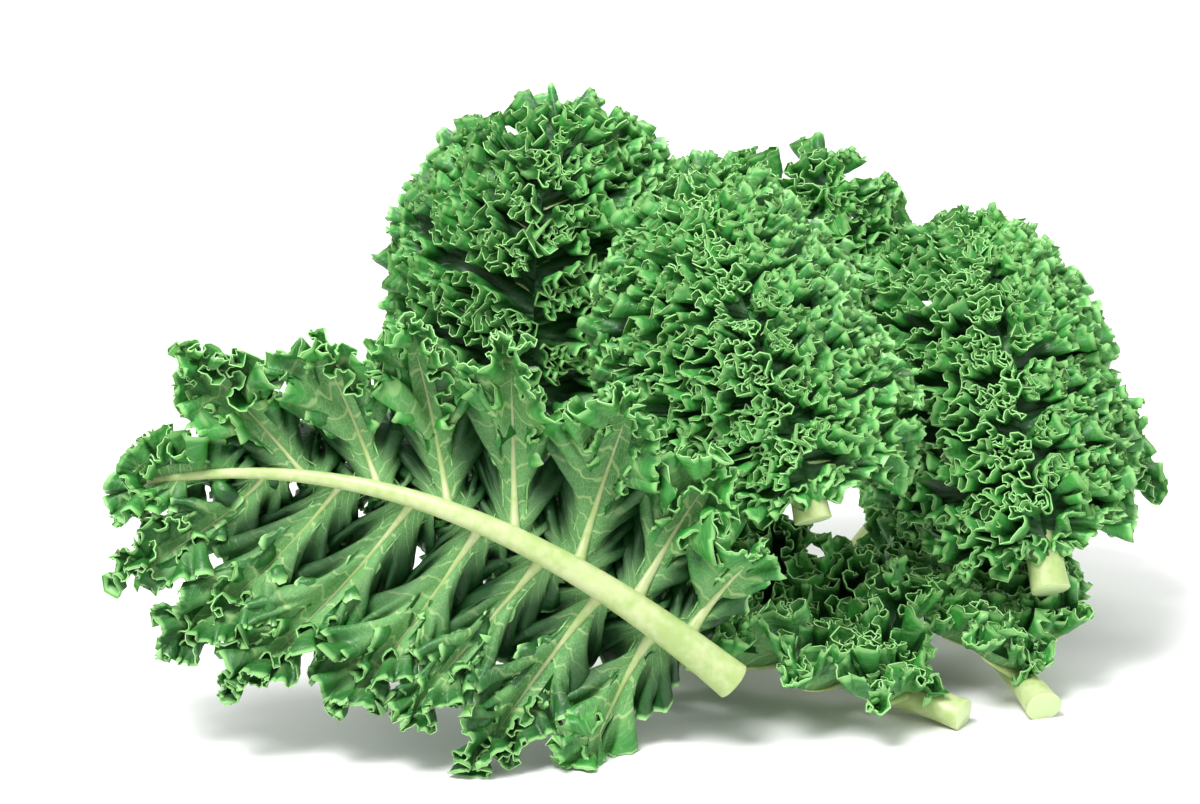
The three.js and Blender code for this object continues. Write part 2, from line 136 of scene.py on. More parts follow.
# The frilled blades. A ribbon's rows run from rib to edge: those of the first group have a quarter of the
# mesh's columns, those of the second half of them and those of the third all.
LEAF_THICKNESS = 0.5
BLADE_ROWS = ((0, 0.2, 0.4), (0.57, 0.72, 0.84), (0.93, 1.0))
CREST_ROWS = ((0, 0.3), (0.55, 0.78), (0.9, 1.0))
COLUMN_STEP = 4  # how many of the third group's columns one of the first group's takes up
COLUMN_WIDTH = 0.54  # measured along the plain edge, times the leaf's coarseness
RIB_PACE = 0.3  # how much of the way along the rib counts as way along the edge
FEWEST_COLUMNS = 8  # in half a lobe
FINE_STEPS = 161  # points at which a half lobe's edge is measured
# The second frill. foot: share of the way to the edge; top: shares of the edge's way out and of its height
CREST_PLACE = (0.3, 0.5, 0.9)
CREST_GROWTH = 0.2  # share of a half lobe over which the second frill grows to its full height
SWING_SHARE = 0.12  # the edge's slow swing forward and back, over the distance between side ribs
SWINGS = 3  # in half a lobe
SWING_WAVER = 40  # length of the swing's unevenness
SWING_GROWTH = 0.2  # share of a half lobe, from its cut, over which the swing sets in
# Each size of curl: its length along the plain edge, its height, how far in from the edge it reaches and
# how far it leans over into loops
CURLS = ((23, 4.4, 24, 0.5), (8.6, 3.2, 12, 1.1), (3.5, 1.3, 4.5, 1.2))
LONGEST_LOOP = 40  # longer curls lean over no further than one of this length
LOOSE = (0.08, 0.5)  # shares of the way to the edge between which the curls set in
NARROW = 6  # a narrower ribbon curls less, and its teeth stand out less
UNEVEN_PHASE = 1.5  # radians by which a swing or curl comes early or late
TOOTH_LENGTH = 0.6
TOOTH_WIDTH = 1.9
TOOTH_WAVER = 5  # length of the teeth's unevenness
VEIN_SLANT = 0.55  # how far the side veins lean towards the lobe's end on their way to the edge

# How much painted shade darkens the blades among the frills, where their curls shut out the light, and over
# which distances in from the edge, in millimetres
RECESS_SHADE = 0.85
RECESS_SHADE_SPAN = (2, 12)
CREST_RECESS_SHADE_SPAN = (1.5, 8)  # the same on the second frill
SHADE_BELOW = 0.15  # share of that painted shade on a blade's lower face, but for the turned leaf's
HOLLOW_SHADE = 0.95  # painted shade in the turned leaf's hollows beside the midrib
HOLLOW_SHADE_ACROSS = (0.15, 0.6)  # shares of the way to the edge over which that painted shade sets in
HOLLOW_SHADE_ALONG = (0.35, 0.65)  # shares of a half lobe, from its cut, over which it ends
LOW_HALF_SHADE = 0.6  # painted shade on the down-facing frills of the turned leaf's lower half
# distances in from the edge, in millimetres, over which that painted shade fades out
LOW_HALF_SHADE_SPAN = (6, 16)
GREEN_EDGE = (6, 14)  # where the lower face turns from the upper face's green to its own
TURNED_GREEN_EDGE = (3, 14)  # the same on the turned leaf

# The stalks and side ribs
STALK_SIDES = 28
STALK_RINGS = 70
CUT_RINGS = (0, 0.0015, 0.004)  # the first rings, as shares of the spine
CUT_RADIUS = 0.94  # radius of the first ring over that of the stalk there, which rounds the cut's rim
RIB_SIDES = 12
RIB_RINGS = 18
RIB_SHOWN = 0.8  # share of a side rib that stands out under its lobe
RIB_END_RADIUS = 0.3
RIB_TAPER = 0.8  # how evenly a side rib tapers
RIB_FLARE = 0.7  # how much wider it is where it springs from the midrib
FLARE_LENGTH = 5
RIB_CLEARANCE = 0.05  # between a side rib and the blade's middle surface

LOWEST = 1.2  # how softly what would sink below the surface is pressed up


def mix(a, b, share):
    return a + (b - a) * share


def smooth(x, low, high):
    """0 below low, 1 above high and a smooth step between them."""
    t = np.clip((x - low) / (high - low), 0, 1)
    return t * t * (3 - 2 * t)


def unit(vectors):
    return vectors / np.maximum(np.linalg.norm(vectors, axis=-1, keepdims=True), 1e-9)


def times(amounts, vectors):
    """Each vector times its own amount."""
    return np.asarray(amounts)[..., None] * vectors


def chance(seed, side, lobe, use):
    """The fixed number from -1 to 1 that the solids use for a lobe."""
    x = math.sin(seed * 12.9898 + side * 78.233 + lobe * 37.719 + use * 4.581) * 43758.5453
    return 2 * (x - math.floor(x)) - 1


def waver(x, seed, length):
    """Smooth noise from about -1 to 1 along a line: five sines with lengths round the one given."""
    draw = np.random.default_rng(seed)
    total = np.zeros_like(x)
    for _ in range(5):
        total += np.sin(2 * np.pi * (x / (length * draw.uniform(0.6, 1.6)) + draw.random()))
    return 0.36 * total


def station_count(leaf):
    return 2 * leaf["lobes"] + TIP_SPANS


def station_at(leaf, j):
    return mix(leaf["start"], 1, j / station_count(leaf))


def rib_station(side, lobe):
    """The station of the midrib that a lobe's rib springs from: odd ones on the left, even ones on the
    right."""
    return 2 * lobe + (1 if side < 0 else 2)


def stalk_radius(leaf, t):
    return mix(leaf["stalk"], STALK_TIP_RADIUS, np.power(t, STALK_TAPER))


def frame_at(leaf, t):
    """Points of the spine at t, points of the blade over them, and the leaf's directions along, up and
    across: the cubic Bezier curve, its tangent, the face's direction squared to it, and their cross
    product."""
    a, b, c, d = (np.array(p, float) - HEAP_MIDDLE for p in leaf["spine"])
    t = np.asarray(t, float)[..., None]
    s = 1 - t
    point = s**3 * a + 3 * s * s * t * b + 3 * s * t * t * c + t**3 * d
    along = unit(s * s * (b - a) + 2 * s * t * (c - b) + t * t * (d - c))
    first, last = np.array(leaf["face"], float)
    up = mix(first, last, t)
    up = unit(up - (up * along).sum(-1, keepdims=True) * along)
    lift = stalk_radius(leaf, t) * STALK_FLATNESS + RIB_GAP + SOLID_THICKNESS / 2
    return dict(point=point, on_blade=point + lift * up, along=along, up=up, across=np.cross(along, up))


def side_rib(leaf, side, lobe, r):
    """A side rib at each r from its base to its end: an arc that leans forward and turns up or down."""
    width, at_tip, more_lean, tilt_start, tilt_turn = leaf["halves"][0 if side < 0 else 1]
    u = rib_station(side, lobe) / station_count(leaf)
    base = frame_at(leaf, mix(leaf["start"], 1, u))
    lean = math.radians(mix(*leaf["sweep"], u) + more_lean + VARY_LEAN * chance(leaf["seed"], side, lobe, 1))
    out = base["across"] * side * math.cos(lean) + base["along"] * math.sin(lean)
    forward = base["along"] * math.cos(lean) - base["across"] * side * math.sin(lean)
    outline = mix(AT_BASE, 1, smooth(u, 0, WIDEST_FROM)) * mix(1, at_tip, smooth(u, NARROWS_FROM, 1))
    length = width * outline * (1 + VARY_LENGTH * chance(leaf["seed"], side, lobe, 2))
    start = math.radians(tilt_start)
    turn = math.radians(tilt_turn + VARY_TURN * chance(leaf["seed"], side, lobe, 3))
    tilt = start + turn * np.asarray(r, float)
    arc = RIB_REACH * length / turn
    point = base["on_blade"] + times(arc * (np.sin(tilt) - math.sin(start)), out)
    point = point + times(arc * (math.cos(start) - np.cos(tilt)), base["up"])
    direction = times(np.cos(tilt), out) + times(np.sin(tilt), base["up"])
    normal = times(np.cos(tilt), base["up"]) - times(np.sin(tilt), out)
    return dict(point=point, direction=direction, normal=normal, forward=forward, length=length)


def stem_of(leaf, side, lobe, r):
    """What a lobe grows along: its side rib, or the end of the midrib, or for the lobe before the first the
    first rib moved back."""
    if lobe == leaf["lobes"]:
        here = frame_at(leaf, station_at(leaf, mix(rib_station(side, lobe) - 1, station_count(leaf), r)))
        length = TIP_LENGTH / (1 - RIB_REACH)
        return dict(point=here["on_blade"], direction=here["along"], normal=here["up"], length=length)
    rib = side_rib(leaf, side, max(lobe, 0), r)
    if lobe < 0:
        rib["point"] = rib["point"] - FIRST_LOBE_WIDTH * rib["forward"]
    return rib


def cut_at(leaf, side, lobe, towards):
    """The inner end of the cut between a lobe and its neighbour, and the way out of the upper face
    there."""
    if lobe == 0 and towards < 0:
        base = frame_at(leaf, leaf["start"])
        return base["on_blade"] + side * FIRST_CUT * base["across"], base["up"]
    own = stem_of(leaf, side, lobe, CUT_REACH)
    other = stem_of(leaf, side, lobe + towards, CUT_REACH)
    normal = unit(own["normal"] + other["normal"])
    rise = CUT_RISE * leaf["rise"] * np.linalg.norm(own["point"] - other["point"])
    return (own["point"] + other["point"]) / 2 + rise * normal, normal


def half_lobe(leaf, side, lobe, towards, m):
    """Half a lobe at each m from the cut beside it to its tip: its point on the rib or midrib, the point of
    its edge, the way out of the upper face and the way forward. The edge stands over the blade, a little
    short of the middle between the lobe's rib and its neighbour's, and closes in a blunt arc at the tip."""
    rib = rib_station(side, lobe)
    at_start = lobe == 0 and towards < 0
    if lobe == leaf["lobes"]:
        axis = frame_at(leaf, station_at(leaf, mix(rib - 1, station_count(leaf), m)))["on_blade"]
    else:
        station = 0 if at_start else rib + towards
        share = 1 - RIB_SPANS / (RIB_SPANS + abs(rib - station))
        on_midrib = frame_at(leaf, station_at(leaf, mix(station, rib, np.minimum(m / share, 1))))["on_blade"]
        on_rib = side_rib(leaf, side, lobe, np.maximum((m - share) / (1 - share), 0))["point"]
        axis = np.where((m < share)[:, None], on_midrib, on_rib)
    r = mix(CUT_REACH, 1, 1 - (1 - m) ** BLUNTNESS)
    stem = stem_of(leaf, side, lobe, r)
    between = stem_of(leaf, side, lobe + towards, r)["point"] - stem["point"]
    near = np.cos(np.pi / 2 * r**ROUNDNESS)
    rise = mix(leaf["rise"], leaf["rise"] if at_start else leaf["tip_rise"], smooth(r, *FOLD))
    beside_tip = leaf["lobes"] in (lobe, lobe + towards)
    gap = np.minimum(np.linalg.norm(between, axis=-1), WIDEST_LOBE)
    spread = min(leaf["spread"], TIP_SPREAD) if beside_tip else leaf["spread"]
    edge = stem["point"] + times(0.5 * spread * near, between)
    edge = edge + times(rise * gap * near, stem["normal"])
    edge = edge + times(stem["length"] * (1 - RIB_REACH) * np.sqrt(1 - near**2), stem["direction"])
    cut, cut_normal = cut_at(leaf, side, lobe, towards)
    near_cut = (1 - smooth(m, 0, FIRST_BLEND if at_start else CUT_BLEND))[:, None]
    edge = mix(edge, cut, near_cut)
    normal = mix(np.broadcast_to(stem["normal"], edge.shape), cut_normal, near_cut)
    forward = times(0 if beside_tip else towards * near * (1 - near_cut[:, 0]), between)
    return axis, edge, normal, forward


def edge_path(leaf):
    """The half lobes in the order in which the blade's edge passes them, up the left half and down the
    right one: side, lobe, towards, and whether it runs outwards along the lobe."""
    lobes = leaf["lobes"]
    left = [(-1, lobe, towards, towards < 0) for lobe in range(lobes) for towards in (-1, 1)]
    right = [(1, lobe, towards, towards > 0) for lobe in reversed(range(lobes)) for towards in (1, -1)]
    return left + [(-1, lobes, -1, True), (1, lobes, -1, False)] + right


def guide_of(leaf):
    """The unfrilled blade as a ribbon along its whole edge, with columns spread evenly along it. Returns
    for each column the point on the rib, the ray to the edge, the way up and forward, m, 1 where the edge
    runs outwards and -1 where it runs inwards, 1 on the right half between its first lobe and the tip, and
    the length run along the edge."""
    parts = []
    fine = np.linspace(0, 1, FINE_STEPS)
    for side, lobe, towards, outwards in edge_path(leaf):
        axis, edge, _, _ = half_lobe(leaf, side, lobe, towards, fine)
        edge_steps = np.linalg.norm(np.diff(edge, axis=0), axis=1)
        run = edge_steps + RIB_PACE * np.linalg.norm(np.diff(axis, axis=0), axis=1)
        run = np.concatenate([[0], np.cumsum(run)])
        count = max(FEWEST_COLUMNS, round(run[-1] / (COLUMN_WIDTH * leaf["coarseness"])))
        m = np.interp(np.linspace(0, run[-1], count + 1), run, fine)
        m = m if outwards else m[::-1]
        m = m[1:] if parts else m
        axis, edge, normal, forward = half_lobe(leaf, side, lobe, towards, m)
        heading = np.full(len(m), 1.0 if outwards else -1.0)
        low = np.full(len(m), float(side > 0 and 0 < lobe < leaf["lobes"]))
        parts.append((axis, edge - axis, normal, forward, m, heading, low))
    joined = [np.concatenate(pieces) for pieces in zip(*parts)]
    whole = len(joined[0]) - (len(joined[0]) - 1) % COLUMN_STEP
    axis, ray, normal, forward, m, heading, low = (values[:whole] for values in joined)
    edge = axis + ray
    run = np.concatenate([[0], np.cumsum(np.linalg.norm(np.diff(edge, axis=0), axis=1))])
    return axis, ray, normal, forward, m, heading, low, run


def curl(points, phase, height, loop):
    """Swings a grid of points to and fro out of its own surface, by height times the sine of the phase, and
    leans the swings over into loops by moving the points along the edge by the sine of twice the phase."""
    along = np.gradient(points, axis=1)
    outwards = np.gradient(points, axis=0)
    step = np.linalg.norm(along, axis=-1)
    length = 2 * np.pi * step / np.maximum(np.abs(np.gradient(phase))[None, :], 1e-6)
    lean = loop * np.minimum(length, LONGEST_LOOP) / (4 * np.pi)
    normal = unit(np.cross(along, outwards))
    return points + times(height * np.sin(phase), normal) - times(lean * np.sin(2 * phase), unit(along))


def frill(points, width, run, v, seed):
    """Curls a ribbon's grid: every size of curl is strongest at the edge, and the finer ride on the
    longer."""
    away = (1 - v) * width
    loose = smooth(v, *LOOSE) * smooth(width, 0, NARROW)
    for k, (length, height, depth, loop) in enumerate(CURLS):
        phase = 2 * np.pi * run / length + UNEVEN_PHASE * waver(run, seed + 10 * k + 2, 2.5 * length)
        strength = np.exp(-((away / depth) ** 2)) * loose
        uneven = 0.85 + 0.35 * waver(run, seed + 10 * k + 3, 2 * length)
        points = curl(points, phase, height * uneven * strength, loop * strength)
    return points


def teeth_at(run, seed):
    """How far the edge's points stand out: a zigzag of uneven width and height."""
    place = (run / TOOTH_WIDTH + 0.3 * waver(run, seed + 6, TOOTH_WAVER)) % 1
    return (1 - np.abs(2 * place - 1)) * TOOTH_LENGTH * (0.9 + 0.5 * waver(run, seed + 1, TOOTH_WAVER))


def reach_of(v, width, run, seed):
    """How far out each row is, as a share of the way to the edge, where the last one has teeth."""
    return v + (v == 1) * (teeth_at(run, seed) / np.maximum(width, NARROW))


def blade_grid(leaf, guide):
    """The frilled blade's middle surface, rows from rib to edge by columns along the edge. The plain lobe
    is the ray from the rib to the edge, which sags like a trough; its edge swings slowly forward and back
    as the solids' does, and the curls ride on it."""
    axis, ray, normal, forward, m, heading, low, run = guide
    v = np.concatenate(BLADE_ROWS)[:, None]
    seed = 100 * leaf["seed"]
    width = np.linalg.norm(ray, axis=-1)
    points = axis + times(reach_of(v, width, run, seed), ray) - times(SAG * width * v * (1 - v), normal)
    phase = 2 * np.pi * SWINGS * m + UNEVEN_PHASE * waver(run, seed + 7, SWING_WAVER)
    swing = -SWING_SHARE * np.cos(phase) * smooth(m, 0, SWING_GROWTH)
    points = frill(points + times(swing * v * v, forward), width, run, v, seed)
    away = (1 - v) * width
    slant = run + VEIN_SLANT * heading * v * width * np.sin(np.pi * m)
    # Painted shade: the blade is darkened in the recesses among its frills, and on the turned leaf in the
    # hollows beside the midrib and on its lower half's down-facing frills
    if leaf["turned"]:
        green = 1 - smooth(away, *TURNED_GREEN_EDGE)
        hollow_shade = smooth(v, *HOLLOW_SHADE_ACROSS) * (1 - smooth(m, *HOLLOW_SHADE_ALONG))
        deep = np.maximum(HOLLOW_SHADE * hollow_shade, LOW_HALF_SHADE * low * (1 - smooth(away, *LOW_HALF_SHADE_SPAN)))
    else:
        green = 1 - smooth(away, *GREEN_EDGE)
        deep = RECESS_SHADE * smooth(away, *RECESS_SHADE_SPAN)
    return points, dict(away=away, run=slant, inwards=v * width, green=green, deep=deep)


def crest_grid(leaf, guide):
    """A second frill inside each lobe's trough, as curly kale has where its blade doubles back: from a foot
    on the blade's wall to an edge that stands beside the blade's own, nearer the middle of the trough."""
    axis, ray, normal, _, m, _, low, run = guide
    v = np.concatenate(CREST_ROWS)[:, None]
    seed = 100 * leaf["seed"] + 50
    foot, out, up = CREST_PLACE
    height = (ray * normal).sum(-1)
    top = out * (ray - times(height, normal)) + times(up * height, normal)
    base = foot * ray - times(SAG * foot * (1 - foot) * np.linalg.norm(ray, axis=-1), normal)
    full_from = leaf["crest_from"]
    grown = smooth(m, full_from - CREST_GROWTH, full_from)[:, None] if full_from else 1
    top = base + grown * (top - base)
    width = np.linalg.norm(top - base, axis=-1)
    reach = reach_of(v, width, run, seed)
    points = frill(axis + base + times(reach, top - base), width, run, v, seed)
    away = (1 - v) * width
    # Painted shade, deeper into the second frill and on the turned leaf's lower half
    lower_half_shade = LOW_HALF_SHADE * low if leaf["turned"] else 0
    deep = np.maximum(RECESS_SHADE * smooth(away, *CREST_RECESS_SHADE_SPAN), lower_half_shade)
    inwards = (foot + v) * width
    return points, dict(away=away, run=run + 0 * v, inwards=inwards, green=1 + 0 * away, deep=deep)


def ribbon_faces(rows, columns):
    """Quads and triangles of one face of a ribbon, and its border as a loop. Where the columns double,
    three triangles fill each step between a quad's side and the two that meet it."""
    first, second, third = (len(group) for group in rows)
    index = np.arange((first + second + third) * columns).reshape(-1, columns)
    bands = [index[:first, ::COLUMN_STEP], index[first:first + second, ::2], index[first + second:]]
    quads = [
        np.stack([band[:-1, :-1], band[:-1, 1:], band[1:, 1:], band[1:, :-1]], -1).reshape(-1, 4)
        for band in bands
    ]
    triangles = []
    for low, high in ((bands[0][-1], bands[1][0]), (bands[1][-1], bands[2][0])):
        triangles += [
            np.stack([low[:-1], high[1::2], high[:-1:2]], -1),
            np.stack([low[:-1], low[1:], high[1::2]], -1),
            np.stack([low[1:], high[2::2], high[1::2]], -1),
        ]
    border = np.concatenate([index[:, 0], index[-1, 1:], index[-2::-1, -1], bands[0][0][-2::-1]])
    return np.concatenate(quads), np.concatenate(triangles), border


def point_normals(points, quads, triangles):
    """The sum of the normals of the faces round each point, made one long."""
    total = np.zeros_like(points)
    over_quads = np.cross(points[quads[:, 2]] - points[quads[:, 0]],
                          points[quads[:, 3]] - points[quads[:, 1]])
    over_triangles = np.cross(points[triangles[:, 1]] - points[triangles[:, 0]],
                              points[triangles[:, 2]] - points[triangles[:, 0]])
    for k in range(4):
        np.add.at(total, quads[:, k], over_quads)
    for k in range(3):
        np.add.at(total, triangles[:, k], over_triangles)
    return unit(total)


def press_on_surface(points):
    """Heights z become (z + sqrt(z * z + 4 * s * s)) / 2, so what would sink below the surface lies just
    over it."""
    z = points[..., 2]
    pressed = (z + np.sqrt(z * z + 4 * LOWEST**2)) / 2
    return np.concatenate([points[..., :2], pressed[..., None]], -1)


def press_flat(points):
    """What would be below the surface is on it."""
    return np.concatenate([points[:, :2], np.maximum(points[:, 2:], 0)], -1)


def mesh_object(name, points, faces, material, values):
    """A smooth mesh from points in millimetres, arrays of quads and triangles, and a number per point for
    each named value."""
    mesh = bpy.data.meshes.new(name)
    mesh.vertices.add(len(points))
    mesh.vertices.foreach_set("co", (points * MM).astype(np.float32).ravel())
    sizes = np.concatenate([np.full(len(group), group.shape[1]) for group in faces])
    corners = np.concatenate([group.ravel() for group in faces])
    mesh.loops.add(int(sizes.sum()))
    mesh.loops.foreach_set("vertex_index", corners.astype(np.int32))
    mesh.polygons.add(len(sizes))
    mesh.polygons.foreach_set("loop_start", np.concatenate([[0], np.cumsum(sizes)[:-1]]).astype(np.int32))
    mesh.polygons.foreach_set("use_smooth", np.ones(len(sizes), bool))
    mesh.update(calc_edges=True)
    for key, numbers in values.items():
        layer = mesh.attributes.new(key, "FLOAT", "POINT")
        layer.data.foreach_set("value", np.ascontiguousarray(numbers, dtype=np.float32))
    mesh.materials.append(material)
    piece = bpy.data.objects.new(name, mesh)
    bpy.context.scene.collection.objects.link(piece)
    return piece


def joined_faces(parts):
    """Quads and triangles of several parts, each of whose first three values are points, quads and
    triangles, numbered for all their points together."""
    start = np.cumsum([0] + [len(part[0]) for part in parts])
    return [np.concatenate([part[k] + first for part, first in zip(parts, start)]) for k in (1, 2)]


def shell_of(grid, values, rows, shade_below):
    """A ribbon as a closed shell: its middle surface moved out to both sides, joined by a rim all round.
    The last argument is the share of the painted shade that its lower face has."""
    columns = grid.shape[1]
    points = press_on_surface(grid.reshape(-1, 3))
    quads, triangles, border = ribbon_faces(rows, columns)
    used = np.unique(np.concatenate([quads.ravel(), triangles.ravel()]))
    number = np.full(len(points), -1)
    number[used] = np.arange(len(used))
    quads, triangles, border = number[quads], number[triangles], number[border]
    points = points[used]
    half = LEAF_THICKNESS / 2 * point_normals(points, quads, triangles)
    below = len(points)
    a, b = border[:-1], border[1:]
    quads = np.concatenate([quads, quads[:, ::-1] + below, np.stack([b, a, a + below, b + below], -1)])
    triangles = np.concatenate([triangles, triangles[:, ::-1] + below])
    both = {key: np.tile(np.broadcast_to(numbers, grid.shape[:2]).reshape(-1)[used], 2)
            for key, numbers in values.items()}
    # Painted shade, which the lower face has only in part
    both["deep"] = both["deep"] * np.repeat([1.0, shade_below], below)
    both["under"] = np.repeat([0.0, 1.0], below)
    return np.concatenate([points + half, points - half]), quads, triangles, both


def frilled_blade(leaf, material):
    guide = guide_of(leaf)
    shells = [
        shell_of(*blade_grid(leaf, guide), BLADE_ROWS, 1 if leaf["turned"] else SHADE_BELOW),
        shell_of(*crest_grid(leaf, guide), CREST_ROWS, 1),
    ]
    points = np.concatenate([shell[0] for shell in shells])
    values = {key: np.concatenate([shell[3][key] for shell in shells]) for key in shells[0][3]}
    return mesh_object(leaf["name"] + "_frills", points, joined_faces(shells), material, values)


def tube(centre, across, up, radius, sides):
    """A closed oval tube: rings of the given radius across and less than that up, with flat ends."""
    angle = 2 * np.pi * np.arange(sides) / sides
    rise = times(np.sin(angle)[None, :] * STALK_FLATNESS, up[:, None])
    points = centre[:, None] + times(radius[:, None], times(np.cos(angle)[None, :], across[:, None]) + rise)
    index = np.arange(len(centre) * sides).reshape(len(centre), sides)
    after = np.roll(index, -1, axis=1)
    quads = np.stack([index[:-1], index[1:], after[1:], after[:-1]], -1).reshape(-1, 4)
    caps = []
    for ring, turned in ((index[0], False), (index[-1], True)):
        fan = np.stack([np.full(sides - 2, ring[0]), ring[1:-1], ring[2:]], -1)
        caps.append(fan[:, ::-1] if turned else fan)
    return points.reshape(-1, 3), quads, np.concatenate(caps)


def stalk_with_ribs(leaf, material):
    """The stalk and midrib, an oval tube along the spine that bears on the blade, and a tapering tube under
    each lobe, which widens where it joins the midrib."""
    t = np.concatenate([CUT_RINGS[:2], np.linspace(CUT_RINGS[2], 1, STALK_RINGS)])
    here = frame_at(leaf, t)
    radius = stalk_radius(leaf, t)
    radius[0] *= CUT_RADIUS
    bear = (RIB_GAP + SOLID_THICKNESS / 2) * smooth(t, 0, leaf["start"])
    centre = here["point"] + times(bear, here["up"])
    parts = [tube(centre, here["across"], here["up"], radius, STALK_SIDES)]
    r = np.linspace(0, RIB_SHOWN, RIB_RINGS)
    for side in (-1, 1):
        for lobe in range(leaf["lobes"]):
            rib = side_rib(leaf, side, lobe, r)
            base = SIDE_RIB_SHARE * stalk_radius(leaf, station_at(leaf, rib_station(side, lobe)))
            flare = 1 + RIB_FLARE * np.exp(-r * rib["length"] / FLARE_LENGTH)
            radius = mix(base, RIB_END_RADIUS, (r / RIB_SHOWN) ** RIB_TAPER) * flare
            centre = rib["point"] - times(radius * STALK_FLATNESS + RIB_CLEARANCE, rib["normal"])
            across = np.broadcast_to(-side * rib["forward"], centre.shape)
            parts.append(tube(centre, across, rib["normal"], radius, RIB_SIDES))
    points = press_flat(np.concatenate([part[0] for part in parts]))
    cut_end = np.zeros(len(points))
    cut_end[:STALK_SIDES] = 1
    return mesh_object(leaf["name"] + "_ribs", points, joined_faces(parts), material, {"cut_end": cut_end})


def new_material(name):
    material = bpy.data.materials.new(name)
    material.use_nodes = True
    tree = material.node_tree
    return material, tree, tree.nodes["Principled BSDF"]


def add_node(tree, kind, settings=None, **inputs):
    """A node with its properties and its inputs: a link where the value is a socket, and else a plain
    value. An input is named by its label with underscores for spaces, or by i and its number."""
    node = tree.nodes.new("ShaderNode" + kind)
    for key, value in (settings or {}).items():
        setattr(node, key, value)
    for key, value in inputs.items():
        numbered = key[0] == "i" and key[1:].isdigit()
        socket = node.inputs[int(key[1:]) if numbered else key.replace("_", " ")]
        if isinstance(value, bpy.types.NodeSocket):
            tree.links.new(value, socket)
        else:
            socket.default_value = value
    return node


def blend(tree, share, first, second):
    """A mix of two colours, plain or linked."""
    node = add_node(tree, "Mix", {"data_type": "RGBA"})
    for socket, value in (("Factor", share), ("A", first), ("B", second)):
        inputs = [s for s in node.inputs if s.name == socket and s.enabled]
        if isinstance(value, bpy.types.NodeSocket):
            tree.links.new(value, inputs[0])
        else:
            inputs[0].default_value = value
    return [s for s in node.outputs if s.enabled][0]


def compute(tree, operation, *values):
    """A sum, product or other operation on numbers."""
    numbered = {f"i{k}": value for k, value in enumerate(values)}
    return add_node(tree, "Math", {"operation": operation}, **numbered).outputs[0]


def ramp(tree, value, low, high, at_low=0.0, at_high=1.0):
    """Runs smoothly from at_low to at_high while value runs from low to high."""
    node = add_node(tree, "MapRange", {"interpolation_type": "SMOOTHSTEP"}, Value=value, From_Min=low,
                    From_Max=high, To_Min=at_low, To_Max=at_high)
    return node.outputs["Result"]


def attribute(tree, name):
    return add_node(tree, "Attribute", {"attribute_name": name}).outputs["Fac"]


def mottle_group():
    """Uneven colour: two sizes of noise on Object coordinates, from 0 to 1."""
    group = bpy.data.node_groups.new("mottle", "ShaderNodeTree")
    group.interface.new_socket("Scale", in_out="INPUT", socket_type="NodeSocketFloat")
    group.interface.new_socket("Mask", in_out="OUTPUT", socket_type="NodeSocketFloat")
    source = group.nodes.new("NodeGroupInput")
    result = group.nodes.new("NodeGroupOutput")
    where = add_node(group, "TexCoord").outputs["Object"]
    large = add_node(group, "TexNoise", Vector=where, Scale=source.outputs[0], Detail=2.0).outputs[0]
    finer = compute(group, "MULTIPLY", source.outputs[0], 5.0)
    small = add_node(group, "TexNoise", Vector=where, Scale=finer, Detail=2.0).outputs[0]
    coarse = compute(group, "MULTIPLY", large, 0.6)
    both = compute(group, "ADD", coarse, compute(group, "MULTIPLY", small, 0.4))
    group.links.new(ramp(group, both, 0.35, 0.65), result.inputs[0])
    return group


def place_group(tree, group, **inputs):
    node = tree.nodes.new("ShaderNodeGroup")
    node.node_tree = group
    for key, value in inputs.items():
        node.inputs[key].default_value = value
    return node.outputs


UPPER_DARK = (0.012, 0.13, 0.018, 1)
UPPER_LIGHT = (0.045, 0.32, 0.045, 1)
UNDER_DARK = (0.07, 0.24, 0.06, 1)
UNDER_LIGHT = (0.14, 0.36, 0.11, 1)
# Painted shade: the colour that the blades are darkened towards in the recesses among the frills
PAINTED_SHADE_COLOUR = (0.004, 0.045, 0.007, 1)
VEIN = (0.38, 0.55, 0.22, 1)
EDGE_LIGHT = (0.4, 0.78, 0.28, 1)
STALK_GREEN = (0.37, 0.5, 0.17, 1)
STALK_PALE = (0.53, 0.6, 0.31, 1)
CUT_PALE = (0.6, 0.74, 0.38, 1)
VEIN_SPACING = 6.5  # millimetres along the edge
VEIN_ABOVE = 0.3  # how clearly the veins show on the upper face
VEIN_BELOW = 0.75  # and on the lower one


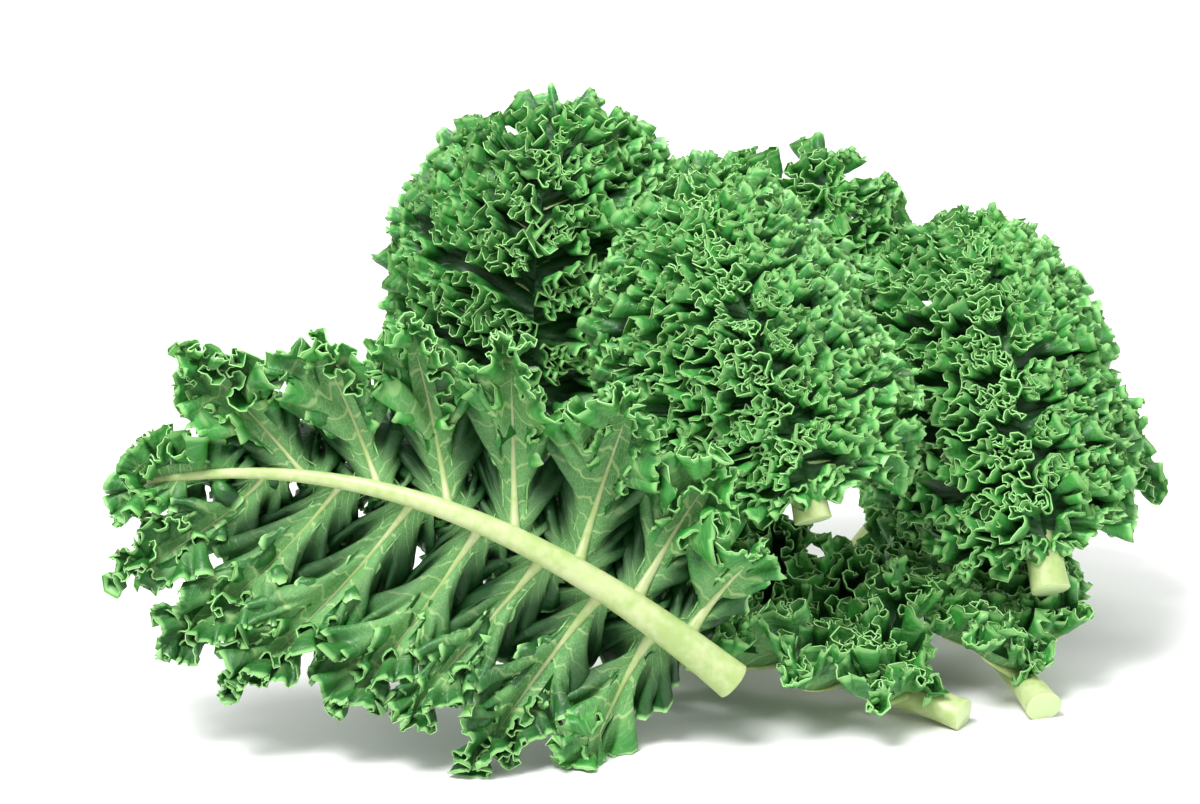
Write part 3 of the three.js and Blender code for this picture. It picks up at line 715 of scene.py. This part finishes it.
def blade_material(mottle):
    """Green above and greyer below, mottled, with pale veins from the rib to the edge and a net between
    them, painted shade among the frills, and a light line along the edge. The attributes away, run and
    inwards are millimetres."""
    material, tree, shader = new_material("kale_blade")
    run, inwards, away = (attribute(tree, name) for name in ("run", "inwards", "away"))
    green = attribute(tree, "green")
    under = compute(tree, "MULTIPLY", attribute(tree, "under"), compute(tree, "SUBTRACT", 1.0, green))
    where = add_node(tree, "CombineXYZ", X=run, Y=inwards).outputs[0]
    bend = add_node(tree, "TexNoise", Vector=where, Scale=0.12, Detail=1.0).outputs[0]
    bent = compute(tree, "MULTIPLY", bend, 1.2)
    place = compute(tree, "ADD", compute(tree, "DIVIDE", run, VEIN_SPACING), bent)
    from_vein = compute(tree, "ABSOLUTE", compute(tree, "SUBTRACT", compute(tree, "FRACT", place), 0.5))
    side_vein = compute(tree, "MULTIPLY", ramp(tree, from_vein, 0.03, 0.1, 1.0, 0.0),
                        ramp(tree, away, 0.5, 6.0))
    cell = add_node(tree, "TexVoronoi", {"feature": "DISTANCE_TO_EDGE"}, Vector=where, Scale=0.55).outputs[0]
    net = compute(tree, "MULTIPLY", ramp(tree, cell, 0.0, 0.09, 0.55, 0.0),
                  ramp(tree, away, 0.0, 4.0, 0.3, 1.0))
    vein = compute(tree, "MAXIMUM", side_vein, net)
    uneven = place_group(tree, mottle, Scale=28.0)["Mask"]
    upper = blend(tree, uneven, UPPER_DARK, UPPER_LIGHT)
    upper = blend(tree, ramp(tree, away, 0.0, 5.0, 0.5, 0.0), upper, UPPER_LIGHT)
    upper = blend(tree, compute(tree, "MULTIPLY", vein, VEIN_ABOVE), upper, VEIN)
    lower = blend(tree, uneven, UNDER_DARK, UNDER_LIGHT)
    lower = blend(tree, compute(tree, "MULTIPLY", vein, VEIN_BELOW), lower, VEIN)
    colour = blend(tree, under, upper, lower)
    # Painted shade, darkest in the recesses among the frills and in the turned leaf's hollows
    colour = blend(tree, attribute(tree, "deep"), colour, PAINTED_SHADE_COLOUR)
    colour = blend(tree, ramp(tree, away, 0.1, 2.0, 0.8, 0.0), colour, EDGE_LIGHT)
    tree.links.new(colour, shader.inputs["Base Color"])
    tree.links.new(ramp(tree, under, 0.0, 1.0, 0.4, 0.6), shader.inputs["Roughness"])
    shader.inputs["Subsurface Weight"].default_value = 0.12
    shader.inputs["Subsurface Radius"].default_value = (0.5, 1.0, 0.25)
    shader.inputs["Subsurface Scale"].default_value = 0.0012
    shader.inputs["Specular IOR Level"].default_value = 0.45
    raised = compute(tree, "MULTIPLY", vein, 0.7)
    relief = compute(tree, "ADD", raised, compute(tree, "MULTIPLY", uneven, 0.3))
    bump = add_node(tree, "Bump", Height=relief, Strength=0.35, Distance=0.0006)
    tree.links.new(bump.outputs[0], shader.inputs["Normal"])
    return material


def stalk_material(mottle):
    """Pale green and mottled, with a paler cut end."""
    material, tree, shader = new_material("kale_stalk")
    uneven = place_group(tree, mottle, Scale=60.0)["Mask"]
    colour = blend(tree, uneven, STALK_GREEN, STALK_PALE)
    colour = blend(tree, attribute(tree, "cut_end"), colour, CUT_PALE)
    tree.links.new(colour, shader.inputs["Base Color"])
    shader.inputs["Roughness"].default_value = 0.38
    shader.inputs["Subsurface Weight"].default_value = 0.3
    shader.inputs["Subsurface Radius"].default_value = (1.0, 1.0, 0.4)
    shader.inputs["Subsurface Scale"].default_value = 0.003
    bump = add_node(tree, "Bump", Height=uneven, Strength=0.15, Distance=0.0005)
    tree.links.new(bump.outputs[0], shader.inputs["Normal"])
    return material


FLOOR_REACH = 12.0  # metres each way
FLOOR_WHITE = (0.92, 0.92, 0.92, 1)
WORLD_LIGHT = 0.65
MIDDLE = (0, 0, 0.08)  # of the heap, where the near lights point
# Area lights: place, target, watts and side. The last one lights the surface that shows above the heap.
LIGHTS = {
    "key": ((-0.5, -0.6, 1.5), MIDDLE, 34.0, 0.7),
    "side": ((1.2, -0.6, 0.8), MIDDLE, 5.0, 1.2),
    "back": ((0.2, 1.3, 1.2), MIDDLE, 12.0, 1.0),
    "far floor": ((0.0, 4.5, 3.0), (0, 7, 0), 900.0, 3.0),
}
CAMERA_HEIGHT = math.radians(14)  # above the horizontal
CAMERA_TARGET = Vector((-0.025, -0.0084, 0.100))
CAMERA_DISTANCE = 1.077


def add_floor():
    mesh = bpy.data.meshes.new("floor")
    far = FLOOR_REACH
    mesh.from_pydata([(-far, -far, 0), (far, -far, 0), (far, far, 0), (-far, far, 0)], [], [(0, 1, 2, 3)])
    material, _, shader = new_material("floor")
    shader.inputs["Base Color"].default_value = FLOOR_WHITE
    shader.inputs["Roughness"].default_value = 0.6
    mesh.materials.append(material)
    floor = bpy.data.objects.new("floor", mesh)
    bpy.context.scene.collection.objects.link(floor)


def aim(thing, place, target):
    thing.location = place
    thing.rotation_mode = "QUATERNION"
    thing.rotation_quaternion = (Vector(target) - Vector(place)).to_track_quat("-Z", "Y")


def add_lights():
    for name, (place, target, power, size) in LIGHTS.items():
        light = bpy.data.lights.new(name, "AREA")
        light.energy = power
        light.size = size
        lamp = bpy.data.objects.new(name, light)
        bpy.context.scene.collection.objects.link(lamp)
        aim(lamp, place, target)
    world = bpy.data.worlds.new("studio")
    bpy.context.scene.world = world
    world.use_nodes = True
    world.node_tree.nodes["Background"].inputs["Color"].default_value = (1, 1, 1, 1)
    world.node_tree.nodes["Background"].inputs["Strength"].default_value = WORLD_LIGHT


def add_camera():
    """Looks at the heap from the photograph's height, from straight in front."""
    camera = bpy.data.cameras.new("camera")
    camera.lens = 85
    camera.sensor_width = 36
    seen = bpy.data.objects.new("camera", camera)
    bpy.context.scene.collection.objects.link(seen)
    way = Vector((0, -math.cos(CAMERA_HEIGHT), math.sin(CAMERA_HEIGHT)))
    aim(seen, CAMERA_TARGET + CAMERA_DISTANCE * way, CAMERA_TARGET)
    bpy.context.scene.camera = seen


bpy.context.scene.view_settings.view_transform = "Standard"
mottle = mottle_group()
blade_finish = blade_material(mottle)
stalk_finish = stalk_material(mottle)
for leaf in LEAVES:
    blade = frilled_blade(leaf, blade_finish)
    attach(blade, "root")
    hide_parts(leaf["name"] + "_blade")
    stalk = stalk_with_ribs(leaf, stalk_finish)
    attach(stalk, "root")
    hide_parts(leaf["name"] + "_stalk")

add_floor()
add_lights()
add_camera()
